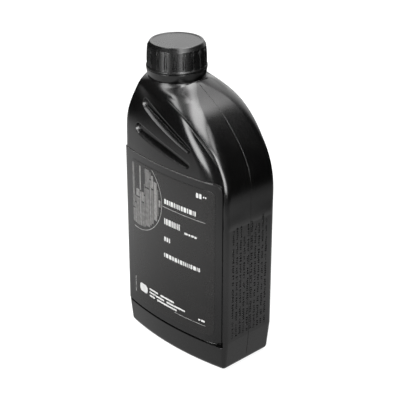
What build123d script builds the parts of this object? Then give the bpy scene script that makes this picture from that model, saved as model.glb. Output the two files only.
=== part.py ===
from build123d import *
import os
from math import acos, atan2, cos, pi, radians, sin, sqrt, tan

os.makedirs("parts", exist_ok=True)

# One-litre motor oil bottle: blow-moulded shell, screw cap with tamper ring, two labels and the oil.
# Millimetres. Origin at the centre of the foot, +Z up, printed front towards -Y, neck towards -X.

# Body
body_width = 108.5
body_depth = 62.6
front_radius = 242.0
side_corner_radius = 5.0
wall = 1.0

# Foot
foot_height = 24.0
foot_taper = 2.4
foot_edge_radius = 4.0
rim_width = 9.0
push_up = 2.5
push_up_corner = 8.0
push_up_slope = 40.0

# Shoulder
shoulder_start = 135.0
shoulder_top = 209.5
neck_offset = 22.5
seat_radius = 21.6

# Neck
neck_radius = 17.6
bore_radius = 15.8
mouth_height = 232.2
lip_round = 0.6
bead_lift = 3.1
bead_height = 2.2
bead_projection = 2.2
bead_edge = 0.8

# Front and back panels
panel_inset = 0.6
panel_corner_radius = 30.0
panel_reach = 59.8
panel_turn = radians(75)
ledge_height = 20.2
ledge_groove = 1.8
ledge_groove_depth = 1.4
crest_width = 4.0
valley_floor = 19.0
valley_draft = 18.0
core_edge_low = 9.0
core_edge_high = -19.0
land_rise = 0.4
land_height = 151.0
land_half_width = 48.4
land_corner = 7.0
recess_draft = 25.0
recess_reach = 12.0

# Labels
label_thickness = 0.15
label_half_width = 44.0
label_margin = 5.7
label_corner = 5.0

# Cap and liner
cap_height = 19.0
cap_top_thickness = 1.6
cap_top_radius = 19.7
cap_edge_round = 0.4
cap_dish_radius = 17.6
cap_dish = 0.3
cap_shoulder_radius = 21.2
cap_shoulder_drop = 3.1
cap_radius = 21.8
cap_rim_radius = 22.3
cap_rim_height = 1.1
cap_rim_rise = 0.9
cap_bore_radius = 19.4
groove_count = 20
groove_width = 1.1
groove_depth = 0.7
groove_turn = 7.5
liner_thickness = 1.2
liner_clearance = 0.4

# Tamper ring
ring_gap = 0.4
ring_top_radius = 22.2
ring_foot_radius = 21.3
ring_bore_radius = 20.2
ring_lip_radius = 18.3
ring_lip_height = 1.5
bridge_count = 10
bridge_width = 1.0

# Oil
fill_height = 183.2
oil_clearance = 0.3

# How far a cutting or clipping shape runs past what it cuts
overrun = 20.0

# Worked out from the sizes above
half_width = body_width / 2
half_depth = body_depth / 2
shoulder_rise = shoulder_top - shoulder_start
panel_foot = ledge_height + ledge_groove
neck_left = -neck_offset - seat_radius
neck_right = seat_radius - neck_offset
neck_wall = neck_radius - bore_radius
bead_base = shoulder_top + bead_lift
cap_underside = mouth_height + liner_thickness
cap_top = cap_underside + cap_top_thickness
cap_base = cap_top - cap_height
ring_top = cap_base - ring_gap
neck_axis = Axis((-neck_offset, 0, 0), (0, 0, 1))
neck_view = Plane(origin=(-neck_offset, 0, 0), x_dir=(1, 0, 0), z_dir=(0, -1, 0))
neck_plan = Plane(origin=(-neck_offset, 0, 0))

# Shoulder levels, as shares of the change from the body (0) to the neck seat (1):
# height, drop of the inner wall, right edge, left edge, depth, front curvature, front centre,
# right corner radius, left corner radius
body_level_shares = [
    (-0.25, 0, 0, 0, 0, 0, 0, 0, 0),
    (-0.12, 0, 0, 0, 0, 0, 0, 0, 0),
    (0.0, 0, 0, 0, 0, 0, 0, 0, 0),
    (0.228, 0.12, 0.023, -0.06, 0.0, 0.0, 0.0, 0.19, 0.15),
    (0.443, 0.30, 0.153, -0.09, -0.02, 0.0, 0.0, 0.35, 0.2),
    (0.631, 0.39, 0.353, 0.11, -0.06, 0.02, 0.09, 0.46, 0.15),
    (0.792, 0.49, 0.583, 0.47, 0.03, 0.118, 0.356, 0.57, 0.2),
    (0.926, 0.60, 0.855, 0.9, 0.505, 0.376, 0.8, 0.76, 0.55),
    (1.0, 0.62, 1.0, 1.0, 1.0, 0.9, 1.0, 0.95, 0.95),
]
# The petal of the front panel at the same heights: right edge, depth, right corner radius, and how
# much of the crest's width is left beside it
petal_level_shares = [
    (0, 0, 0, 1),
    (0, 0, 0, 1),
    (0, 0, 0, 1),
    (0.085, 0.0, 0.30, 1),
    (0.245, 0.03, 0.58, 1),
    (0.455, 0.12, 0.75, 0.8),
    (0.6376, 0.27, 1.0, 0.4),
    (0.898, 0.45, 1.338, 0),
    (0.99, 0.97, 1.0, 0),
]
# Three points of the valley's sloping floor, from beside the land up to the neck: x in half
# widths, z in shoulder rises above the shoulder's start, y in half depths
valley_slope_shares = [(0.885, 0.215, 0.607), (0.277, 0.792, 0.879), (-0.83, 0.872, 0.671)]

# Finger recesses, each as big end and tip: x in half widths, z in shoulder rises above the
# shoulder's start, radius and floor in half depths
recess_shares = [
    ((-0.49, 0.768, 0.096, 0.775), (0.371, 0.489, 0.05, 0.872)),
    ((-0.62, 0.49, 0.095, 0.80), (0.35, 0.329, 0.06, 0.888)),
]


def between(start, end, share):
    return start + (end - start) * share


def corner_arc(reach, depth, bow, corner, end_turn=pi / 2):
    """Start, middle and end of the round from a bowed face to a flat side, for the side at +X."""
    bow_centre = bow - depth
    corner_x = reach - corner
    corner_y = bow_centre - sqrt((bow - corner) ** 2 - corner_x**2)
    turn = atan2(corner_x, bow_centre - corner_y)
    middle = (turn + end_turn) / 2
    return [
        (bow * sin(turn), bow_centre - bow * cos(turn)),
        (corner_x + corner * sin(middle), corner_y - corner * cos(middle)),
        (corner_x + corner * sin(end_turn), corner_y - corner * cos(end_turn)),
    ]


def placed(points, centre, side=1, face=1):
    """Points of a corner moved to their side (-1 is left) and face (-1 is back) of the section."""
    return [(centre + side * x, face * y) for x, y in points]


def plan_face(height, left, right, depth, bow, centre, left_corner, right_corner):
    """One level of the body: bowed front and back, flat sides, rounded corners."""
    corner_r = corner_arc(right - centre, depth, bow, right_corner)
    corner_l = corner_arc(centre - left, depth, bow, left_corner)
    front_r = placed(corner_r, centre)
    back_r = placed(corner_r, centre, face=-1)
    front_l = placed(corner_l, centre, side=-1)
    back_l = placed(corner_l, centre, side=-1, face=-1)
    with BuildSketch(Plane.XY.offset(height)) as level:
        with BuildLine():
            ThreePointArc(front_l[0], (centre, -depth), front_r[0])
            ThreePointArc(*front_r)
            Line(front_r[2], back_r[2])
            ThreePointArc(*reversed(back_r))
            ThreePointArc(back_r[0], (centre, depth), back_l[0])
            ThreePointArc(*back_l)
            Line(back_l[2], front_l[2])
            ThreePointArc(*reversed(front_l))
        make_face()
    return level.sketch


def body_face(shares, inset=0.0, height=None):
    """The body's section at one shoulder level, moved inwards by an even wall."""
    rise, drop, right, left, depth, curve, centre, right_corner, left_corner = shares
    bow = 1 / between(1 / front_radius, 1 / seat_radius, curve)
    if height is None:
        height = shoulder_start + shoulder_rise * rise - inset * drop
    return plan_face(
        height,
        between(-half_width, neck_left, left) + inset,
        between(half_width, neck_right, right) - inset,
        between(half_depth, seat_radius, depth) - inset,
        bow - inset,
        between(0, -neck_offset, centre),
        between(side_corner_radius, seat_radius, left_corner) - inset,
        between(side_corner_radius, seat_radius, right_corner) - inset,
    )


def panel_face(shares, petal, inset=0.0, height=None, setback=0.0):
    """The front panel's section to the mid-plane: bowed, and falling away at its right edge."""
    rise, drop, _, left, _, curve, centre, _, left_corner = shares
    reach, depth, corner, _ = petal
    bow = 1 / between(1 / front_radius, 1 / seat_radius, curve) - inset
    if height is None:
        height = shoulder_start + shoulder_rise * rise - inset * drop
    centre = between(0, -neck_offset, centre)
    left = between(-half_width, neck_left, left) + inset
    right = between(panel_reach, neck_right, reach) - inset
    depth = between(half_depth - panel_inset, seat_radius, depth) - inset - setback
    left_corner = between(side_corner_radius, seat_radius, left_corner) - inset
    right_corner = between(panel_corner_radius, bore_radius, corner) - inset
    front_r = placed(corner_arc(right - centre, depth, bow, right_corner, panel_turn), centre)
    front_l = placed(corner_arc(centre - left, depth, bow, left_corner), centre, side=-1)
    with BuildSketch(Plane.XY.offset(height)) as level:
        with BuildLine():
            ThreePointArc(front_l[0], (centre, -depth), front_r[0])
            ThreePointArc(*front_r)
            Polyline(front_r[2], (front_r[2][0], 0), (front_l[2][0], 0), front_l[2])
            ThreePointArc(*reversed(front_l))
        make_face()
    return level.sketch


def straight_panel(inset, bottom, top, setback=0.0):
    """The panel's lower section as a straight bar between two heights."""
    straight = body_level_shares[0]
    with BuildPart() as bar:
        section = panel_face(straight, petal_level_shares[0], inset, bottom, setback)
        extrude(section, amount=top - bottom)
    return bar.part


def outer_form(inset, base):
    """Foot, straight body and shoulder, without the panels."""
    straight = body_level_shares[0]
    loft_base = shoulder_start + shoulder_rise * straight[0]
    with BuildPart() as form:
        loft(sections=[body_face(shares, inset) for shares in body_level_shares])
        extrude(body_face(straight, inset, height=foot_height), amount=loft_base - foot_height)
        loft(
            sections=[
                body_face(straight, inset + foot_taper, height=base),
                body_face(straight, inset, height=foot_height),
            ],
            ruled=True,
        )
        fillet(form.edges().group_by(Axis.Z)[0], radius=foot_edge_radius - inset)
    return form.part


def bounds_face(bottom, grow, distance):
    """Front view of what the panel may fill, up to the crest on the right, at one depth."""
    edge = [
        (
            between(half_width, neck_right, shares[2]) - crest_width * petal[3] + grow,
            shoulder_start + shoulder_rise * shares[0],
        )
        for shares, petal in zip(body_level_shares[2:], petal_level_shares[2:])
    ]
    far_left = -half_width - overrun
    far_top = shoulder_top + overrun
    with BuildSketch(Plane.XZ.offset(distance)) as view:
        with BuildLine():
            Line((edge[0][0], bottom), edge[0])
            Spline(*edge, tangents=((0, 1), (-1, 1)))
            Polyline(
                edge[-1],
                (edge[-1][0], far_top),
                (far_left, far_top),
                (far_left, bottom),
                (edge[0][0], bottom),
            )
        make_face()
    return view.sketch


def panel_bounds(bottom, grow):
    """The bounds as a solid from the mid-plane forwards, widening in front of the valley's floor."""
    reach = half_depth + overrun
    spread = (reach - valley_floor) * tan(radians(valley_draft))
    with BuildPart() as bounds:
        extrude(bounds_face(bottom, grow, 0), amount=valley_floor)
        loft(
            sections=[
                bounds_face(bottom, grow, valley_floor),
                bounds_face(bottom, grow + spread, reach),
            ],
            ruled=True,
        )
    return bounds.part


def valley_slope(inset):
    """The plane of the valley's floor where it rises towards the neck, facing forwards."""
    low, high, side = [
        Vector(half_width * x, -half_depth * y, shoulder_start + shoulder_rise * z)
        for x, z, y in valley_slope_shares
    ]
    outwards = (high - low).cross(side - low)
    if outwards.Y > 0:
        outwards = -outwards
    return Plane(origin=low, x_dir=high - low, z_dir=outwards).offset(-inset)


def valley_cut(inset, crest):
    """What is cleared in front of the body's core, leaving a crest on the right or nothing."""
    floor = valley_floor - inset
    depth = half_depth + overrun
    bottom = ledge_height - inset
    top = shoulder_top + overrun
    right = half_width + overrun
    edge_height = between(shoulder_start, shoulder_top, body_level_shares[6][0])
    with BuildPart() as cut:
        with BuildSketch(Plane.XZ.offset(floor)):
            with Locations((0, (bottom + top) / 2)):
                Rectangle(right * 2, top - bottom)
        extrude(amount=depth - floor)
        split(bisect_by=valley_slope(inset), keep=Keep.TOP)
        if crest:
            add(panel_bounds(ledge_height - overrun, 0), mode=Mode.INTERSECT)
        with BuildSketch(Plane.XZ):
            with BuildLine():
                Polyline(
                    (-right, bottom),
                    (core_edge_low, bottom),
                    (core_edge_low, edge_height),
                    (core_edge_high, shoulder_top),
                    (core_edge_high, top),
                    (-right, top),
                    close=True,
                )
            make_face()
        extrude(amount=depth)
    return cut.part


def front_view_block(left, right, bottom, top, corner):
    """A block standing in front of the mid-plane, its front view a rounded rectangle."""
    with BuildPart() as block:
        with BuildSketch(Plane.XZ):
            with Locations(((left + right) / 2, (bottom + top) / 2)):
                RectangleRounded(right - left, top - bottom, corner)
        extrude(amount=half_depth + overrun)
    return block.part


def label_land():
    """The raised land for the label: it runs out to the left side and ends rounded on the right."""
    with BuildPart() as land:
        add(straight_panel(-land_rise, panel_foot, land_height))
        add(
            front_view_block(
                -half_width - overrun,
                land_half_width,
                panel_foot - overrun,
                land_height,
                land_corner,
            ),
            mode=Mode.INTERSECT,
        )
        add(body_side_block(), mode=Mode.INTERSECT)
    return land.part


def body_side_block():
    """Everything between the body's two flat sides, for holding a form flush with them."""
    with BuildPart() as block:
        with BuildSketch(Plane.XY):
            Rectangle(body_width, body_depth + overrun)
        extrude(amount=shoulder_top)
    return block.part


def front_panel(inset, crest):
    """The front panel from the ledge to the neck, trimmed to its outline."""
    straight = body_level_shares[0]
    with BuildPart() as panel:
        loft(
            sections=[
                panel_face(shares, petal, inset)
                for shares, petal in zip(body_level_shares, petal_level_shares)
            ]
        )
        add(straight_panel(inset, panel_foot + inset, shoulder_start + shoulder_rise * straight[0]))
        add(straight_panel(inset, ledge_height - inset, panel_foot + inset, ledge_groove_depth))
        add(panel_bounds(ledge_height - overrun, -inset), mode=Mode.INTERSECT)
        if crest:
            add(label_land())
    return panel.part


def moulded_form(inset, base, crest):
    """The body with both panels. With an inset it is the hollow, which leaves the crests solid."""
    cut = valley_cut(inset, crest)
    panel = front_panel(inset, crest)
    with BuildPart() as form:
        add(outer_form(inset, base))
        add(cut, mode=Mode.SUBTRACT)
        mirror(cut, about=Plane.XZ, mode=Mode.SUBTRACT)
        add(panel)
        mirror(panel, about=Plane.XZ)
    return form.part


def recess_face(floor_plane, length, big, tip):
    """Outline of a finger recess: two rounds joined by their tangents."""
    lean = acos((big - tip) / length)
    big_top = (big * cos(lean), big * sin(lean))
    tip_top = (length + tip * cos(lean), tip * sin(lean))
    with BuildSketch(floor_plane) as outline:
        with BuildLine():
            ThreePointArc(big_top, (-big, 0), (big_top[0], -big_top[1]))
            Line((big_top[0], -big_top[1]), (tip_top[0], -tip_top[1]))
            ThreePointArc((tip_top[0], -tip_top[1]), (length + tip, 0), tip_top)
            Line(tip_top, big_top)
        make_face()
    return outline.sketch


def recess_cut(ends, inset):
    """One finger recess of the front, widening outwards from its sloping floor."""
    (x, z, big, floor), (tip_x, tip_z, tip, tip_floor) = ends
    start = Vector(half_width * x, inset - half_depth * floor, shoulder_start + shoulder_rise * z)
    end = Vector(
        half_width * tip_x, inset - half_depth * tip_floor, shoulder_start + shoulder_rise * tip_z
    )
    along = end - start
    outwards = along.cross(Vector(-along.Z, 0, along.X))
    floor_plane = Plane(origin=start, x_dir=along, z_dir=outwards)
    radii = [half_depth * big + inset, half_depth * tip + inset]
    spread = recess_reach * tan(radians(recess_draft))
    with BuildPart() as cut:
        loft(
            sections=[
                recess_face(floor_plane, along.length, *radii),
                recess_face(
                    floor_plane.offset(recess_reach),
                    along.length,
                    radii[0] + spread,
                    radii[1] + spread,
                ),
            ],
            ruled=True,
        )
    return cut.part


def push_up_plug(inset):
    """What is missing under the base, with an inset the same grown by the wall."""
    slope = (push_up + inset) * tan(radians(push_up_slope))
    margin = 2 * (foot_taper + rim_width - inset)
    with BuildPart() as plug:
        with BuildSketch(Plane.XY):
            RectangleRounded(body_width - margin, body_depth - margin, push_up_corner)
        with BuildSketch(Plane.XY.offset(push_up + inset)):
            RectangleRounded(
                body_width - margin - 2 * slope, body_depth - margin - 2 * slope, push_up_corner
            )
        loft(ruled=True)
    return plug.part


def neck_turned(points):
    """A solid turned about the neck's axis from points of radius and height."""
    with BuildPart() as turned:
        with BuildSketch(neck_view):
            with BuildLine():
                Polyline(*points, close=True)
            make_face()
        revolve(axis=neck_axis)
    return turned.part


def shaped_form(inset, base, crest):
    """The moulded form with its finger recesses and pushed-up base, at one inset."""
    with BuildPart() as form:
        add(moulded_form(inset, base, crest))
        for ends in recess_shares:
            cut = recess_cut(ends, inset)
            add(cut, mode=Mode.SUBTRACT)
            mirror(cut, about=Plane.XZ, mode=Mode.SUBTRACT)
        add(push_up_plug(inset), mode=Mode.SUBTRACT)
    return form.part


def hollow_form(inset, base, top):
    """The space inside the body, up to a level top."""
    with BuildPart() as hollow:
        add(shaped_form(inset, base, False))
        split(bisect_by=Plane.XY.offset(top), keep=Keep.BOTTOM)
    return hollow.part


def label_film():
    """The front film, lying on the land."""
    with BuildPart() as film:
        add(straight_panel(-land_rise - label_thickness, panel_foot, land_height))
        add(straight_panel(-land_rise, panel_foot, land_height), mode=Mode.SUBTRACT)
        add(
            front_view_block(
                -label_half_width,
                label_half_width,
                panel_foot + label_margin,
                land_height - label_margin,
                label_corner,
            ),
            mode=Mode.INTERSECT,
        )
    return film.part


# Bottle: shell, neck and bead, hollow and bore
neck_outside = [
    (0, shoulder_top - neck_wall),
    (neck_radius, shoulder_top - neck_wall),
    (neck_radius, bead_base),
    (neck_radius + bead_projection, bead_base),
    (neck_radius + bead_projection, bead_base + bead_edge),
    (neck_radius, bead_base + bead_height),
    (neck_radius, mouth_height - lip_round),
    (neck_radius - lip_round, mouth_height),
    (0, mouth_height),
]
neck_inside = [
    (0, shoulder_top - neck_wall),
    (bore_radius, shoulder_top - neck_wall),
    (bore_radius, mouth_height),
    (0, mouth_height),
]
with BuildPart() as bottle:
    add(shaped_form(0, 0, True))
    add(neck_turned(neck_outside))
    add(hollow_form(wall, wall, shoulder_top - neck_wall), mode=Mode.SUBTRACT)
    add(neck_turned(neck_inside), mode=Mode.SUBTRACT)
bottle.part.label = "bottle"
export_step(bottle.part, "parts/bottle.step")

# Oil: stands on the inner floor, clear of the walls
with BuildPart() as oil:
    add(hollow_form(wall + oil_clearance, wall, fill_height))
oil.part.label = "oil"
export_step(oil.part, "parts/oil.step")

# Labels
with BuildPart() as front_label:
    add(label_film())
front_label.part.label = "front_label"
export_step(front_label.part, "parts/front_label.step")

with BuildPart() as back_label:
    mirror(label_film(), about=Plane.XZ)
back_label.part.label = "back_label"
export_step(back_label.part, "parts/back_label.step")

# Cap: outside, dished top, hollow, then the grip grooves along its slightly tapered side
groove_foot = cap_base + cap_rim_height + cap_rim_rise
groove_head = cap_top - cap_shoulder_drop
cap_profile = [
    (0, cap_top - cap_dish),
    (cap_dish_radius, cap_top - cap_dish),
    (cap_dish_radius + cap_dish, cap_top),
    (cap_top_radius - cap_edge_round, cap_top),
    (cap_top_radius, cap_top - cap_edge_round),
    (cap_shoulder_radius, groove_head),
    (cap_radius, groove_foot),
    (cap_rim_radius, cap_base + cap_rim_height),
    (cap_rim_radius, cap_base),
    (cap_bore_radius, cap_base),
    (cap_bore_radius, cap_underside),
    (0, cap_underside),
]
with BuildPart() as groove:
    with BuildSketch(Plane.XZ):
        with BuildLine():
            Polyline(
                (cap_radius - groove_depth, groove_foot),
                (cap_radius + groove_depth, groove_foot),
                (cap_shoulder_radius + groove_depth, groove_head),
                (cap_shoulder_radius - groove_depth, groove_head),
                close=True,
            )
        make_face()
    extrude(amount=groove_width / 2, both=True)
with BuildPart() as cap:
    add(neck_turned(cap_profile))
    with Locations((-neck_offset, 0)):
        with PolarLocations(0, groove_count, start_angle=groove_turn):
            add(groove.part, mode=Mode.SUBTRACT)
cap.part.label = "cap"
export_step(cap.part, "parts/cap.step")

# Liner: sealing wad between the mouth and the underside of the cap
with BuildPart() as cap_liner:
    with BuildSketch(neck_plan.offset(mouth_height)):
        Circle(cap_bore_radius - liner_clearance)
    extrude(amount=liner_thickness)
cap_liner.part.label = "cap_liner"
export_step(cap_liner.part, "parts/cap_liner.step")

# Tamper ring: stands on the shoulder's seat, its lip under the bead, its bridges up to the cap
ring_profile = [
    (ring_lip_radius, shoulder_top),
    (ring_foot_radius, shoulder_top),
    (ring_top_radius, ring_top),
    (ring_bore_radius, ring_top),
    (ring_bore_radius, shoulder_top + ring_lip_height),
    (ring_lip_radius, shoulder_top + ring_lip_height),
]
with BuildPart() as tamper_ring:
    add(neck_turned(ring_profile))
    with BuildSketch(neck_plan.offset(ring_top)):
        with PolarLocations((ring_bore_radius + ring_top_radius) / 2, bridge_count):
            Rectangle(bridge_width, bridge_width)
    extrude(amount=ring_gap)
tamper_ring.part.label = "tamper_ring"
export_step(tamper_ring.part, "parts/tamper_ring.step")
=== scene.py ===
import math
import random

import bmesh
import bpy
from mathutils import Matrix, Vector
from mathutils.bvhtree import BVHTree


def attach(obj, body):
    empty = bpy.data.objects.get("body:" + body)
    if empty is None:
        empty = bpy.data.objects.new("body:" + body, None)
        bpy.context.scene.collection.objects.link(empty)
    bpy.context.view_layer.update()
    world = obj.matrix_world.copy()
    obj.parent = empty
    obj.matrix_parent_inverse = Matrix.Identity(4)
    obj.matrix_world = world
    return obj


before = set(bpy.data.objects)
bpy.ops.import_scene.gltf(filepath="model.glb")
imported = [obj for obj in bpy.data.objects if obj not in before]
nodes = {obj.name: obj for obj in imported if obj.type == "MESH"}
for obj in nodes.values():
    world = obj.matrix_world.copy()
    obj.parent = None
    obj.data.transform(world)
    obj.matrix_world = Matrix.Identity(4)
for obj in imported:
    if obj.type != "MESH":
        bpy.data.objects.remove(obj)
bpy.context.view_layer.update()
scene = bpy.context.scene
scene.view_settings.view_transform = "Standard"

# Places and sizes on the bottle are in millimetres and become metres with MM.
MM = 0.001
NECK_X = -22.5

# Camera, in metres: the photograph's direction, distance and framing.
VIEW_AZIMUTH = math.radians(46.33)
VIEW_ELEVATION = math.radians(25.424)
VIEW_DISTANCE = 0.89245
AIM_ACROSS = 0.001175
AIM_HEIGHT = 0.11594
FOCAL_PIXELS = 1197.4
FRAME_PIXELS = 400
SENSOR_WIDTH = 36


def place_camera():
    forward = Vector((-math.sin(VIEW_AZIMUTH) * math.cos(VIEW_ELEVATION),
                      math.cos(VIEW_AZIMUTH) * math.cos(VIEW_ELEVATION),
                      -math.sin(VIEW_ELEVATION)))
    across = Vector((math.cos(VIEW_AZIMUTH), math.sin(VIEW_AZIMUTH), 0))
    lens = bpy.data.cameras.new("camera")
    lens.sensor_width = SENSOR_WIDTH
    lens.lens = FOCAL_PIXELS / FRAME_PIXELS * SENSOR_WIDTH
    holder = bpy.data.objects.new("camera", lens)
    scene.collection.objects.link(holder)
    holder.location = Vector((0, 0, AIM_HEIGHT)) + across * AIM_ACROSS - forward * VIEW_DISTANCE
    holder.rotation_euler = forward.to_track_quat("-Z", "Y").to_euler()
    scene.camera = holder


# Node helpers.
def add(tree, kind, inputs=None, **settings):
    node = tree.nodes.new(kind)
    for name, value in settings.items():
        setattr(node, name, value)
    for key, value in (inputs or {}).items():
        if hasattr(value, "is_output"):
            tree.links.new(value, node.inputs[key])
        else:
            node.inputs[key].default_value = value
    return node


def noise(tree, coords, scale, detail, roughness=0.5):
    return add(tree, "ShaderNodeTexNoise", {"Vector": coords, "Scale": scale, "Detail": detail,
                                            "Roughness": roughness}).outputs["Fac"]


def remap(tree, value, low, high, from_low=0.35, from_high=0.65, curve="LINEAR"):
    """Carries a value from one range to another. The default range is where a noise mostly lies."""
    return add(tree, "ShaderNodeMapRange", {"Value": value, "From Min": from_low, "From Max": from_high,
                                            "To Min": low, "To Max": high},
               interpolation_type=curve).outputs["Result"]


def distance_from(tree, coords, centre, stretch_left=1.0):
    """Distance from an upright axis. Left of it, the distance along x may count for less."""
    shifted = add(tree, "ShaderNodeVectorMath", {0: coords, 1: (*centre, 0)},
                  operation="SUBTRACT").outputs[0]
    x, y, _ = add(tree, "ShaderNodeSeparateXYZ", {0: shifted}).outputs
    if stretch_left != 1.0:
        left = maths(tree, "MULTIPLY", maths(tree, "MINIMUM", x, 0.0), stretch_left)
        x = maths(tree, "ADD", maths(tree, "MAXIMUM", x, 0.0), left)
    flat = add(tree, "ShaderNodeCombineXYZ", {0: x, 1: y}).outputs[0]
    return add(tree, "ShaderNodeVectorMath", {0: flat}, operation="LENGTH").outputs["Value"]


def maths(tree, operation, first, second=0.0):
    return add(tree, "ShaderNodeMath", {0: first, 1: second}, operation=operation).outputs[0]


def blend_colours(tree, factor, first, second):
    node = add(tree, "ShaderNodeMix", data_type="RGBA")
    tree.links.new(factor, node.inputs[0])
    node.inputs[6].default_value = (*first, 1)
    node.inputs[7].default_value = (*second, 1)
    return node.outputs[2]


def bump(tree, height, distance, normal=None):
    inputs = {"Height": height, "Distance": distance, "Strength": 1.0}
    if normal is not None:
        inputs["Normal"] = normal
    return add(tree, "ShaderNodeBump", inputs).outputs["Normal"]


# How far the roughness strays, and the turned rings on the cap's top, in metres.
ROUGH_SPREAD = 0.02
RING_PITCH = 0.0023
RING_REACH = 0.0172
RING_FLOOR = 0.2344
RING_DEPTH = 0.000012


def surface(name, dark, light, rough, ior=1.54, patch=45.0, grain=900.0, grain_depth=0.000004,
            wave_scale=0.0, wave_depth=0.0, rings=False, edge=0.0):
    """A material whose colour, roughness and relief all vary over the surface."""
    material = bpy.data.materials.new(name)
    material.use_nodes = True
    tree = material.node_tree
    shader = tree.nodes["Principled BSDF"]
    coords = add(tree, "ShaderNodeTexCoord").outputs["Object"]
    patches = noise(tree, coords, patch, 3.0)
    colour = blend_colours(tree, remap(tree, patches, 0, 1), dark, light)
    tree.links.new(colour, shader.inputs["Base Color"])
    fine = noise(tree, coords, grain, 3.0, 0.6)
    spread = maths(tree, "ADD", remap(tree, patches, -ROUGH_SPREAD, ROUGH_SPREAD),
                   remap(tree, fine, rough - ROUGH_SPREAD, rough + ROUGH_SPREAD))
    tree.links.new(spread, shader.inputs["Roughness"])
    shader.inputs["IOR"].default_value = ior
    relief = None
    if edge:
        relief = add(tree, "ShaderNodeBevel", {"Radius": edge}, samples=8).outputs["Normal"]
    if wave_depth:
        relief = bump(tree, noise(tree, coords, wave_scale, 1.0), wave_depth, relief)
    relief = bump(tree, fine, grain_depth, relief)
    if rings:
        relief = turned_rings(tree, coords, relief)
    tree.links.new(relief, shader.inputs["Normal"])
    return material


def turned_rings(tree, coords, normal):
    """Fine concentric rings on the cap's top."""
    radius = distance_from(tree, coords, (NECK_X * MM, 0))
    height = add(tree, "ShaderNodeSeparateXYZ", {0: coords}).outputs[2]
    wave = maths(tree, "SINE", maths(tree, "MULTIPLY", radius, 2 * math.pi / RING_PITCH))
    inside = maths(tree, "LESS_THAN", radius, RING_REACH)
    above = maths(tree, "GREATER_THAN", height, RING_FLOOR)
    relief = maths(tree, "MULTIPLY", wave, maths(tree, "MULTIPLY", inside, above))
    return bump(tree, relief, RING_DEPTH, normal)


black_shell = surface("shell_plastic", (0.0030, 0.0030, 0.0031), (0.0050, 0.0049, 0.0048), 0.19,
                      wave_scale=34.0, wave_depth=0.00006, edge=0.0007)
black_cap = surface("cap_plastic", (0.0045, 0.0045, 0.0046), (0.0070, 0.0069, 0.0068), 0.29,
                    grain=1400.0, grain_depth=0.0000015, rings=True, edge=0.0005)
black_ring = surface("ring_plastic", (0.0038, 0.0038, 0.0039), (0.0058, 0.0057, 0.0056), 0.16,
                     grain=1400.0, grain_depth=0.000001, edge=0.0005)
# The lands' edge lips: a lighter grey than the shell's plastic, a painted highlight.
edge_painted_highlight = surface("shell_edge_painted_highlight", (0.085, 0.085, 0.084), (0.120, 0.118, 0.116), 0.42)
marked_shell = surface("shell_marks", (0.0030, 0.0030, 0.0031), (0.0050, 0.0049, 0.0048), 0.24)
film_black = surface("label_film", (0.0050, 0.0045, 0.0042), (0.0066, 0.0060, 0.0056), 0.26,
                     grain=1600.0, grain_depth=0.000002, wave_scale=30.0, wave_depth=0.00005, edge=0.0003)
ink_white = surface("ink_white", (0.80, 0.80, 0.79), (0.88, 0.88, 0.87), 0.42,
                    patch=300.0, grain=2600.0)
ink_grey = surface("ink_grey", (0.115, 0.112, 0.110), (0.215, 0.210, 0.205), 0.40,
                   patch=420.0, grain=2600.0)
ink_mid = surface("ink_mid", (0.20, 0.195, 0.19), (0.34, 0.335, 0.33), 0.40,
                  patch=420.0, grain=2600.0)
ink_light = surface("ink_light", (0.36, 0.355, 0.35), (0.48, 0.475, 0.47), 0.40,
                    patch=300.0, grain=2600.0)
foam = surface("liner_foam", (0.62, 0.61, 0.58), (0.74, 0.73, 0.70), 0.75, patch=350.0, grain=2200.0,
               grain_depth=0.00005)
oil_fluid = surface("oil_fluid", (0.62, 0.27, 0.035), (0.70, 0.33, 0.05), 0.06, ior=1.47, patch=30.0,
                    grain=40.0, grain_depth=0.00001)
oil_fluid.node_tree.nodes["Principled BSDF"].inputs["Transmission Weight"].default_value = 0.85

NODE_LOOKS = {"bottle": black_shell, "tamper_ring": black_ring, "cap": black_cap, "cap_liner": foam,
              "front_label": film_black, "back_label": film_black, "oil": oil_fluid}
for node_name, look in NODE_LOOKS.items():
    for holder_slot in nodes[node_name].material_slots:
        holder_slot.material = look


# Pieces that lie on the moulding.
def surface_tree(name):
    mesh = nodes[name].data
    return BVHTree.FromPolygons([v.co for v in mesh.vertices], [p.vertices for p in mesh.polygons])


FRONT = surface_tree("front_label")
BACK = surface_tree("back_label")
SHELL = surface_tree("bottle")
CAP = surface_tree("cap")
# Where rays start that look for the surface from outside, in metres.
OUTSIDE = 0.1


def touch(tree, start, direction):
    """The first point that a ray meets on a surface, or None."""
    return tree.ray_cast(Vector(start), Vector(direction))[0]


def finish_piece(name, data, material, body, smooth=False):
    bmesh.ops.recalc_face_normals(data, faces=data.faces[:])
    mesh = bpy.data.meshes.new(name)
    data.to_mesh(mesh)
    data.free()
    mesh.materials.append(material)
    if smooth:
        for face in mesh.polygons:
            face.use_smooth = True
    piece = bpy.data.objects.new(name, mesh)
    scene.collection.objects.link(piece)
    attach(piece, body)


def sweep(data, loops):
    """Joins a row of loops of points into a closed form."""
    rows = [[data.verts.new(point) for point in loop] for loop in loops]
    count = len(rows[0])
    for first, second in zip(rows, rows[1:]):
        for corner in range(count):
            following = (corner + 1) % count
            data.faces.new((first[corner], first[following], second[following], second[corner]))
    data.faces.new(rows[0][::-1])
    data.faces.new(rows[-1])


# Print on the labels. Its outlines are in millimetres across and up the label.
INK_THICKNESS = 0.03
INK_SINK = 0.01
CUT_PITCH = 2.0
CORNER_STEPS = 4
ARC_STEPS = 48


def plain_bar(x0, z0, x1, z1):
    return [[(x0, z0), (x1, z0), (x1, z1), (x0, z1)]]


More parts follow.
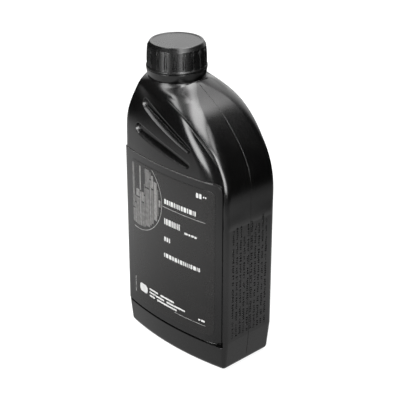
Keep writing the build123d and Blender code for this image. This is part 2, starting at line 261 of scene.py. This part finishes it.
def rounded_bar(x0, z0, x1, z1, radius=0.4):
    """Outline of a bar with round corners."""
    radius = min(radius, (x1 - x0) / 2, (z1 - z0) / 2)
    points = []
    for centre_x, centre_z, start in ((x1 - radius, z1 - radius, 0), (x0 + radius, z1 - radius, 90),
                                      (x0 + radius, z0 + radius, 180), (x1 - radius, z0 + radius, 270)):
        for step in range(CORNER_STEPS + 1):
            angle = math.radians(start + 90 * step / CORNER_STEPS)
            points.append((centre_x + radius * math.cos(angle), centre_z + radius * math.sin(angle)))
    return [points]


def ring_arc(cx, cz, radius, width, start, end):
    """Quads of a ring's arc, from one angle to another."""
    inner, outer = radius - width / 2, radius + width / 2
    quads = []
    for step in range(ARC_STEPS):
        a = math.radians(start + (end - start) * step / ARC_STEPS)
        b = math.radians(start + (end - start) * (step + 1) / ARC_STEPS)
        quads.append([(cx + reach * math.cos(angle), cz + reach * math.sin(angle))
                      for reach, angle in ((inner, a), (outer, a), (outer, b), (inner, b))])
    return quads


def printed(name, outlines, material, side=-1, tree=FRONT):
    """Thin plates of ink that follow the label film. side is -1 on the front and 1 on the back."""
    data = bmesh.new()
    for outline in outlines:
        data.faces.new([data.verts.new((x * MM, 0, z * MM)) for x, z in outline])
    bmesh.ops.remove_doubles(data, verts=data.verts[:], dist=1e-6)
    xs = [v.co.x for v in data.verts]
    cut = math.ceil(min(xs) / (CUT_PITCH * MM)) * CUT_PITCH * MM
    while cut < max(xs):
        bmesh.ops.bisect_plane(data, geom=data.verts[:] + data.edges[:] + data.faces[:], dist=1e-7,
                               plane_co=(cut, 0, 0), plane_no=(1, 0, 0))
        cut += CUT_PITCH * MM
    bmesh.ops.triangulate(data, faces=data.faces[:])
    skin = bmesh.ops.extrude_face_region(data, geom=data.faces[:])
    raised = {item for item in skin["geom"] if isinstance(item, bmesh.types.BMVert)}
    for vertex in data.verts:
        hit = touch(tree, (vertex.co.x, side * OUTSIDE, vertex.co.z), (0, -side, 0))
        if hit is None:
            raise ValueError(name + " reaches past the label")
        lift = INK_THICKNESS if vertex in raised else -INK_SINK
        vertex.co.y = hit.y + side * lift * MM
    finish_piece(name, data, material, "bottle_body")


def word_bars(x, z, height, widths, gap):
    """A row of plain bars in place of words."""
    outlines = []
    for width in widths:
        outlines += rounded_bar(x, z, x + width, z + height, 0.35 * height)
        x += width + gap
    return outlines


BLOCK_WIDTHS = (0.8, 1.2, 1.8, 2.6)
BLOCK_GAP = 0.8
BLOCK_CORNER = 0.45


def block_row(x, z, height, count, seed):
    """A row of plain upright blocks of mixed widths, as wide as a printed word."""
    draw = random.Random(seed)
    outlines = []
    for _ in range(count):
        width = draw.choice(BLOCK_WIDTHS)
        outlines += rounded_bar(x, z, x + width, z + height, BLOCK_CORNER)
        x += width + BLOCK_GAP
    return outlines


# Large words: left, foot, height, number of blocks and seed.
FRONT_WORDS = ((-3.3, 122.2, 3.9, 14, 5), (-3.6, 105.6, 4.9, 8, 8),
               (-3.9, 91.6, 3.7, 3, 13), (-4.2, 78.2, 3.4, 15, 21))
# Small words: left, foot, height, widths of the bars and the gap between them.
FRONT_NOTES = ((34.8, 138.7, 1.3, (1.2, 1.0), 0.6), (17.4, 104.4, 1.6, (3.2, 1.6, 2.4, 2.2), 0.8),
               (30.4, 37.4, 1.6, (2.2, 3.4), 0.6))
# Bars: left, foot, right and top.
VOLUME_BLOCKS = ((28.6, 137.4, 30.7, 141.2), (31.4, 137.4, 33.5, 141.2))
FOOT_BLOCK = (-35.5, 36.2, -25.5, 43.4)
FOOT_BLOCK_CORNER = 2.6
FOOT_BARS = ((-22.8, 41.9, -12.0, 43.4), (-22.8, 39.0, -5.0, 40.5), (-22.8, 36.2, -16.0, 37.7),
             (-9.4, 41.9, 6.0, 43.4), (-2.4, 39.0, 17.5, 40.5), (-13.4, 36.2, 9.0, 37.7))
FOOT_BAR_CORNER = 0.7
FRONT_RULES = ((-5.2, 119.2, 36.8, 119.6), (6.5, 34.4, 37.2, 34.8))
# The upright row of dashes at the label's lower left.
DASH_LEFT, DASH_RIGHT, DASH_FOOT, DASH_GAP, DASH_CORNER = -41.7, -40.9, 32.6, 0.5, 0.3
DASH_PITCHES = (3.2, 1.6, 4.0, 2.2, 3.0)


def front_print():
    words = []
    for box in VOLUME_BLOCKS:
        words += rounded_bar(*box, BLOCK_CORNER)
    for row in FRONT_WORDS:
        words += block_row(*row)
    for row in FRONT_NOTES:
        words += word_bars(*row)
    printed("print_words", words, ink_white)
    block = rounded_bar(*FOOT_BLOCK, FOOT_BLOCK_CORNER)
    for box in FOOT_BARS:
        block += rounded_bar(*box, FOOT_BAR_CORNER)
    printed("print_block", block, ink_white)
    lines = []
    for box in FRONT_RULES:
        lines += plain_bar(*box)
    foot = DASH_FOOT
    for pitch in DASH_PITCHES:
        lines += rounded_bar(DASH_LEFT, foot, DASH_RIGHT, foot + pitch - DASH_GAP, DASH_CORNER)
        foot += pitch
    printed("print_lines", lines, ink_light)


# The artwork's round field and its bands, from left to right.
FIELD_X, FIELD_Z, FIELD_RADIUS = -35.5, 120.0, 27.0
FIELD_LOW, FIELD_HIGH = 93.0, 142.6
BAND_LEFT = -42.5
BAND_WIDTHS = (2.6, 1.1, 4.2, 1.6, 3.0, 0.9, 5.2, 1.4, 2.4, 3.4, 1.0, 2.0)
BAND_GAP = 0.55
BAND_CUT = 1.2
BAND_LEAST = 3.0
STEP_FIRST, STEP_CYCLE, STEP_RISE, SHORT_PIECE = 11.0, 3.7, 2.1, 3.8
ARC_CENTRE, ARC_RADIUS, ARC_WIDTH, ARC_ANGLES = (-37.0, 120.5), 30.8, 0.45, (-98, 50)


def front_artwork():
    """A plain round field of stepped upright bands beside the words, with one thin arc around it."""
    grey, pale = [], []
    x = BAND_LEFT
    for index, width in enumerate(BAND_WIDTHS):
        right = x + width
        half = math.sqrt(max(FIELD_RADIUS ** 2 - (x + width / 2 - FIELD_X) ** 2, 0.0))
        low, high = max(FIELD_Z - half, FIELD_LOW), min(FIELD_Z + half, FIELD_HIGH)
        cut = low + STEP_FIRST + STEP_CYCLE * (index % 4) + STEP_RISE * index
        first, second = (pale, grey) if index % 2 else (grey, pale)
        if cut < high - BAND_LEAST:
            first += rounded_bar(x, low, right, cut)
            if index % 3:
                top = min(high, cut + BAND_CUT + SHORT_PIECE + index)
                second += rounded_bar(x, cut + BAND_CUT, right, top)
            else:
                first += rounded_bar(x, cut + BAND_CUT, right, high)
        elif high - low > BAND_LEAST:
            first += rounded_bar(x, low, right, high)
        x = right + BAND_GAP
    printed("artwork_bands", grey, ink_grey)
    printed("artwork_bands_pale", pale, ink_mid)
    printed("artwork_arc", ring_arc(*ARC_CENTRE, ARC_RADIUS, ARC_WIDTH, *ARC_ANGLES), ink_light)


# The back label's rows of small words, its framed box and its stripes.
ROW_LEFT, ROW_LAST, ROW_RIGHT = -38.0, 34.0, 38.0
ROW_TOP, ROW_FOOT, ROW_HEIGHT, ROW_GAP = 134.0, 62.0, 1.5, 0.8
ROW_PITCH, PARAGRAPH_PITCH = 2.9, 6.0
BOX_RULES = ((-38, 34, -8, 34.5), (-38, 55.5, -8, 56), (-38, 34.5, -37.5, 55.5), (-8.5, 34.5, -8, 55.5))
BOX_WORDS = ((-34.5, 49.0, 2.4, (6.0, 4.0, 8.0), 0.9), (-34.5, 43.6, 2.4, (9.0, 5.0), 0.9),
             (-34.5, 38.2, 2.4, (5.0, 3.0, 7.0), 0.9))
STRIPES_LEFT, STRIPES_RIGHT, STRIPES_FOOT, STRIPES_TOP = 6.0, 36.0, 34.0, 54.0


def back_print():
    draw = random.Random(7)
    words = []
    foot = ROW_TOP
    while foot > ROW_FOOT:
        x = ROW_LEFT
        widths = []
        while x < ROW_LAST:
            width = draw.uniform(1.8, 6.5)
            widths.append(min(width, ROW_RIGHT - x))
            x += width + ROW_GAP
        words += word_bars(ROW_LEFT, foot, ROW_HEIGHT, widths, ROW_GAP)
        foot -= ROW_PITCH if draw.random() < 0.82 else PARAGRAPH_PITCH
    printed("back_words", words, ink_light, 1, BACK)
    box = []
    for rule in BOX_RULES:
        box += plain_bar(*rule)
    for row in BOX_WORDS:
        box += word_bars(*row)
    printed("back_frame", box, ink_white, 1, BACK)
    stripes = []
    x = STRIPES_LEFT
    while x < STRIPES_RIGHT:
        width = draw.choice((0.35, 0.7, 1.05))
        stripes += plain_bar(x, STRIPES_FOOT, x + width, STRIPES_TOP)
        x += width + draw.choice((0.4, 0.7, 1.0))
    printed("back_stripes", stripes, ink_white, 1, BACK)


# The parting line.
FLASH_FOOT, FLASH_TOP, FLASH_PITCH = 5.0, 208.5, 1.5
FLASH_HALF_WIDTH = 0.24 * MM
FLASH_PROUD = 0.22 * MM
FLASH_SUNK = 0.08 * MM


def parting_line(name, side):
    """The thin flash that the two halves of the mould leave, from the foot to the neck."""
    across = Vector((0, FLASH_HALF_WIDTH, 0))
    loops = []
    height = FLASH_FOOT
    while height < FLASH_TOP:
        start = Vector((side * OUTSIDE, 0.0, height * MM))
        centre, normal, _, _ = SHELL.ray_cast(start, Vector((-side, 0, 0)))
        if centre is not None:
            outward = Vector((normal.x, 0, normal.z)).normalized()
            foot = centre - outward * FLASH_SUNK
            flank = centre + outward * FLASH_PROUD * 0.7
            loops.append((foot - across * 1.6, flank - across * 0.6, centre + outward * FLASH_PROUD,
                          flank + across * 0.6, foot + across * 1.6))
        height += FLASH_PITCH
    data = bmesh.new()
    sweep(data, loops)
    finish_piece(name, data, black_shell, "bottle_body", smooth=True)


# The lips beside the cap's grip grooves.
GROOVES = 20
GROOVE_TURN = 7.5
LIP_TURN = 2.6
LIP_FOOT, LIP_PITCH, LIP_POINTS = 219.6, 1.35, 9
LIP_HALF_WIDTH = 0.24 * MM
LIP_PROUD = 0.26 * MM
LIP_SUNK = 0.1 * MM


def grip_lips():
    """Thin raised lips along both sides of every grip groove of the cap."""
    data = bmesh.new()
    for groove in range(GROOVES):
        for side in (-1, 1):
            angle = math.radians(GROOVE_TURN + 360 / GROOVES * groove + LIP_TURN * side)
            outward = Vector((math.cos(angle), math.sin(angle), 0))
            along = Vector((-outward.y, outward.x, 0)) * LIP_HALF_WIDTH
            loops = []
            for point in range(LIP_POINTS):
                axis = Vector((NECK_X, 0, LIP_FOOT + LIP_PITCH * point)) * MM
                centre = touch(CAP, axis + outward * OUTSIDE, -outward)
                fade = math.sin(math.pi * (point + 0.6) / (LIP_POINTS + 0.2)) ** 0.4
                foot = centre - outward * LIP_SUNK
                crest = centre + outward * LIP_PROUD * fade
                loops.append((foot + along, crest + along * 0.5, crest - along * 0.5, foot - along))
            sweep(data, loops)
    finish_piece("grip_lips", data, black_ring, "cap_body", smooth=True)


# The upper edges of the front and back lands, small lips in a lighter grey than the shell as a painted
# highlight. They are found where the shell steps in by EDGE_STEP.
EDGE_LEFT, EDGE_RIGHT, EDGE_PITCH = -52.5, 43.0, 1.5
EDGE_LOW, EDGE_RISE, EDGE_LEVELS = 148.0, 0.2, 45
EDGE_STEP = 0.25 * MM
EDGE_HALF_HEIGHT = 0.38 * MM
EDGE_HALF_DEPTH = 0.342 * MM
EDGE_SUNK = 0.1 * MM
EDGE_CORNERS = [math.radians(60 * corner) for corner in range(6)]


def land_edge(name, side):
    """The upper edge of one land, a small rounded lip in a lighter grey than the shell, a painted
    highlight for the light that the narrow edge catches.
    """
    heights = [EDGE_LOW + EDGE_RISE * level for level in range(EDGE_LEVELS)]
    loops = []
    x = EDGE_LEFT
    while x < EDGE_RIGHT:
        hits = [touch(SHELL, (x * MM, side * OUTSIDE, z * MM), (0, -side, 0)) for z in heights]
        for z, first, second in zip(heights, hits, hits[1:]):
            if first is not None and second is not None and side * (first.y - second.y) > EDGE_STEP:
                centre = Vector((x * MM, first.y - side * EDGE_SUNK, z * MM))
                loops.append([centre + Vector((0, EDGE_HALF_DEPTH * math.sin(angle),
                                               EDGE_HALF_HEIGHT * math.cos(angle)))
                              for angle in EDGE_CORNERS])
                break
        x += EDGE_PITCH
    data = bmesh.new()
    sweep(data, loops)
    finish_piece(name, data, edge_painted_highlight, "bottle_body", smooth=True)


# The screw threads.
THREAD_LEAD = 4.2
THREAD_TURNS = 2
THREAD_STEPS = 96
THREAD_HALF_FOOT = 1.1
THREAD_HALF_CREST = 0.5


def thread(name, body, radius, crest, low, material, phase=0.0):
    """A moulded screw thread: a ridge along a helix that fades in and out at its ends."""
    inward = radius - (crest - radius) * 0.25
    loops = []
    for index in range(THREAD_STEPS + 1):
        turned = THREAD_TURNS * index / THREAD_STEPS
        angle = phase + 2 * math.pi * turned
        fade = min(1.0, 9 * turned, 9 * (THREAD_TURNS - turned))
        ridge = radius + (crest - radius) * max(fade, 0.08)
        profile = ((inward, -THREAD_HALF_FOOT), (ridge, -THREAD_HALF_CREST),
                   (ridge, THREAD_HALF_CREST), (inward, THREAD_HALF_FOOT))
        loops.append([Vector((NECK_X + reach * math.cos(angle), reach * math.sin(angle),
                              low + THREAD_LEAD * turned + rise)) * MM for reach, rise in profile])
    data = bmesh.new()
    sweep(data, loops)
    finish_piece(name, data, material, body)


# The fine moulded marks on the right side.
TICK_COLUMNS = 10
TICK_LEFT, TICK_COLUMN_PITCH = -18.2, 3.75
TICK_FOOT, TICK_TOP = 27.0, 112.0
TICK_GAP = 0.75
TICK_PROUD = 0.34
TICK_UPPER_PROUD = 0.02
TICK_SUNK = 0.06
TICK_BEVEL = 0.08


def raised_ticks():
    """Columns of small raised ticks, where the real shell carries fine moulded marks."""
    data = bmesh.new()
    draw = random.Random(11)
    for column in range(TICK_COLUMNS):
        y = TICK_LEFT + TICK_COLUMN_PITCH * column
        z = TICK_FOOT + 0.6 * (column % 3)
        top = TICK_TOP - 1.5 * (column % 4) + 0.8 * column
        while z < top:
            for _ in range(draw.randint(2, 7)):
                length = draw.choice((0.7, 0.9, 1.3))
                shift = draw.choice((0.0, 0.0, 0.5))
                tick(data, y + shift, z, draw.choice((1.5, 1.9)) - shift, length)
                z += length + TICK_GAP
            z += draw.choice((1.2, 1.8, 2.6))
    finish_piece("side_ticks", data, marked_shell, "bottle_body")


def tick(data, y, z, width, length):
    """A small wedge, proud along its lower edge, so that its face leans up."""
    lower, upper = [], []
    for dy, dz, in_y, in_z in ((0, 0, 1, 1), (width, 0, -1, 1), (width, length, -1, -1),
                               (0, length, 1, -1)):
        rise = TICK_UPPER_PROUD if dz else TICK_PROUD
        for store, inset, lift in ((lower, 0, -TICK_SUNK), (upper, TICK_BEVEL, rise)):
            start = (OUTSIDE, (y + dy + inset * in_y) * MM, (z + dz + inset * in_z) * MM)
            hit = touch(SHELL, start, (-1, 0, 0))
            store.append(data.verts.new(hit + Vector((lift * MM, 0, 0))))
    data.faces.new(upper)
    data.faces.new(lower[::-1])
    for corner in range(4):
        following = (corner + 1) % 4
        data.faces.new((lower[corner], lower[following], upper[following], upper[corner]))


# Studio, in metres: the floor. Gloss sees it as a table that glows and ends, darker near the bottle as a
# painted shadow.
FLOOR_RADIUS = 2.5
FLOOR_DROP = 0.0002
FLOOR_GLOW = 0.88
FLOOR_GREY = 0.25
TABLE_CENTRE = (-0.03, -0.06)
TABLE_BRIGHT = 0.16
TABLE_DARK = 0.54
TABLE_LEVEL = 0.97
TABLE_DARK_LEVEL = 0.01
# Near the bottle, the glow that gloss sees drops to this level between these distances: a painted shadow
# of the bottle.
FLOOR_SHADOW_LEVEL = 0.55
FLOOR_SHADOW_REACH = (0.09, 0.24)
TABLE_LEFT_STRETCH = 0.62


def lay_floor():
    """A white floor. The camera sees it with the bottle's shadow; gloss sees a table that glows, ends,
    and is darker near the bottle as a painted shadow.
    """
    data = bmesh.new()
    bmesh.ops.create_circle(data, cap_ends=True, segments=96, radius=FLOOR_RADIUS)
    mesh = bpy.data.meshes.new("floor")
    data.to_mesh(mesh)
    data.free()
    floor = bpy.data.objects.new("floor", mesh)
    floor.location.z = -FLOOR_DROP
    scene.collection.objects.link(floor)
    material = bpy.data.materials.new("floor")
    material.use_nodes = True
    tree = material.node_tree
    tree.nodes.remove(tree.nodes["Principled BSDF"])
    coords = add(tree, "ShaderNodeTexCoord").outputs["Object"]
    radius = distance_from(tree, coords, TABLE_CENTRE, TABLE_LEFT_STRETCH)
    table = remap(tree, radius, TABLE_LEVEL, TABLE_DARK_LEVEL, TABLE_BRIGHT, TABLE_DARK, "SMOOTHSTEP")
    distance = add(tree, "ShaderNodeVectorMath", {0: coords}, operation="LENGTH").outputs["Value"]
    # The glow is lowered near the bottle, a painted shadow in what gloss sees.
    painted_floor_shadow = remap(tree, distance, FLOOR_SHADOW_LEVEL, 1.0, *FLOOR_SHADOW_REACH)
    camera_ray = add(tree, "ShaderNodeLightPath").outputs["Is Camera Ray"]
    glow = add(tree, "ShaderNodeEmission", {"Strength": maths(tree, "MULTIPLY", table, painted_floor_shadow)})
    seen = add(tree, "ShaderNodeEmission", {"Strength": FLOOR_GLOW})
    matt = add(tree, "ShaderNodeBsdfDiffuse", {"Color": (FLOOR_GREY, FLOOR_GREY, FLOOR_GREY, 1)})
    shaded = add(tree, "ShaderNodeAddShader", {0: seen.outputs[0], 1: matt.outputs[0]})
    both = add(tree, "ShaderNodeMixShader", {0: camera_ray, 1: glow.outputs[0], 2: shaded.outputs[0]})
    tree.links.new(both.outputs[0], tree.nodes["Material Output"].inputs["Surface"])
    mesh.materials.append(material)


# Studio: the world. A direction's share of the backdrop is its dot product with BACKDROP_SIDE.
BACKDROP_SIDE = (-0.53, 0.74, 0.42)
BACKDROP_EDGE, BACKDROP_FULL = 0.70, 0.95
STUDIO_DARK, BACKDROP_LEVEL = 0.02, 1.45
ZENITH_EDGE, ZENITH_FULL = 0.90, 0.98


def light_world():
    """White to the camera. Around the bottle a dark studio, its pale backdrop behind on the left."""
    world = bpy.data.worlds.new("studio")
    scene.world = world
    world.use_nodes = True
    tree = world.node_tree
    direction = add(tree, "ShaderNodeTexCoord").outputs["Generated"]
    side = add(tree, "ShaderNodeVectorMath", {0: direction, 1: BACKDROP_SIDE},
               operation="DOT_PRODUCT").outputs["Value"]
    backdrop = remap(tree, side, STUDIO_DARK, BACKDROP_LEVEL, BACKDROP_EDGE, BACKDROP_FULL, "SMOOTHSTEP")
    height = add(tree, "ShaderNodeSeparateXYZ", {0: direction}).outputs[2]
    zenith = remap(tree, height, 0.0, 1.0, ZENITH_EDGE, ZENITH_FULL)
    node = add(tree, "ShaderNodeMix", data_type="FLOAT")
    tree.links.new(add(tree, "ShaderNodeLightPath").outputs["Is Camera Ray"], node.inputs[0])
    tree.links.new(maths(tree, "ADD", backdrop, zenith), node.inputs[2])
    node.inputs[3].default_value = 1.0
    tree.links.new(node.outputs[0], tree.nodes["Background"].inputs["Strength"])
    tree.nodes["Background"].inputs["Color"].default_value = (1, 1, 1, 1)


# Studio: the lamps.
LAMP_CENTRE = Vector((0, 0, 0.15))
CEILING_HEIGHT = 1.0
ACROSS = Vector((math.cos(VIEW_AZIMUTH), math.sin(VIEW_AZIMUTH), 0))
TOWARDS = Vector((math.sin(VIEW_AZIMUTH), -math.cos(VIEW_AZIMUTH), 0))


def lamp_at(name, location, facing, width, height, radiance, feather, glossy=True):
    """A rectangular lamp with soft edges, for gloss alone or for diffuse light alone."""
    lamp = bpy.data.lights.new(name, "AREA")
    lamp.shape = "RECTANGLE"
    lamp.size = width
    lamp.size_y = height
    lamp.energy = radiance * math.pi * width * height
    lamp.use_nodes = True
    tree = lamp.node_tree
    place = add(tree, "ShaderNodeNewGeometry").outputs["Parametric"]
    parts = add(tree, "ShaderNodeSeparateXYZ", {0: place}).outputs
    level = None
    for part, share in zip(parts, feather):
        edge = maths(tree, "MINIMUM", part, maths(tree, "SUBTRACT", 1.0, part))
        soft = remap(tree, edge, 0.0, 1.0, 0.0, share, "SMOOTHSTEP")
        level = soft if level is None else maths(tree, "MULTIPLY", level, soft)
    tree.links.new(level, tree.nodes["Emission"].inputs["Strength"])
    holder = bpy.data.objects.new(name, lamp)
    scene.collection.objects.link(holder)
    holder.location = location
    holder.rotation_euler = facing.to_euler()
    holder.visible_glossy = glossy
    holder.visible_diffuse = not glossy


def ceiling_lamp(name, across, towards, radiance, feather, lean=0.0):
    """A lamp that lies flat above the bottle, between two distances across and towards the camera."""
    middle = ACROSS * (across[0] + across[1]) / 2 + TOWARDS * (towards[0] + towards[1]) / 2
    turn = Matrix((ACROSS, -TOWARDS, Vector((0, 0, 1)))).transposed()
    turn = turn @ Matrix.Rotation(math.radians(lean), 3, "Z")
    lamp_at(name, LAMP_CENTRE + middle + Vector((0, 0, CEILING_HEIGHT)), turn, across[1] - across[0],
            towards[1] - towards[0], radiance, feather)


def standing_lamp(name, azimuth, elevation, distance, width, height, radiance, feather, glossy=True):
    """A lamp that faces the bottle from one direction."""
    turn, climb = math.radians(azimuth), math.radians(elevation)
    outward = Vector((math.cos(turn) * math.cos(climb), math.sin(turn) * math.cos(climb),
                      math.sin(climb)))
    facing = (-outward).to_track_quat("-Z", "Y").to_matrix()
    lamp_at(name, LAMP_CENTRE + outward * distance, facing, width, height, radiance, feather, glossy)


def light_studio():
    ceiling_lamp("overhead_right", (0.024, 0.744), (-0.72, 0.95), 10.0, (0.28, 0.30), lean=-16.0)
    ceiling_lamp("overhead_side", (0.55, 1.02), (-0.22, 0.95), 6.5, (0.42, 0.20))
    ceiling_lamp("overhead_front", (0.20, 1.10), (0.70, 1.60), 5.5, (0.20, 0.15))
    ceiling_lamp("overhead_left", (-0.64, -0.22), (-0.34, 0.44), 7.0, (0.25, 0.25), lean=-22.0)
    standing_lamp("strip_front", -88, 3, 1.1, 0.60, 0.95, 11.0, (0.25, 0.15))
    standing_lamp("strip_right", -24, 10, 1.1, 0.52, 1.30, 11.0, (0.3, 0.1))
    for name, azimuth, elevation, radiance in (("fill_front", -70, 35, 7.6), ("fill_back", 110, 35, 5.0),
                                               ("fill_top", -150, 80, 3.0)):
        standing_lamp(name, azimuth, elevation, 1.6, 1.2, 1.2, radiance, (0.1, 0.1), glossy=False)


place_camera()
front_print()
front_artwork()
back_print()
parting_line("parting_line_right", 1)
parting_line("parting_line_left", -1)
raised_ticks()
grip_lips()
land_edge("land_edge_front", -1)
land_edge("land_edge_back", 1)
thread("neck_thread", "bottle_body", 17.6, 18.8, 218.4, black_shell)
thread("cap_thread", "cap_body", 19.4, 18.2, 219.0, black_cap, math.pi)
lay_floor()
light_world()
light_studio()
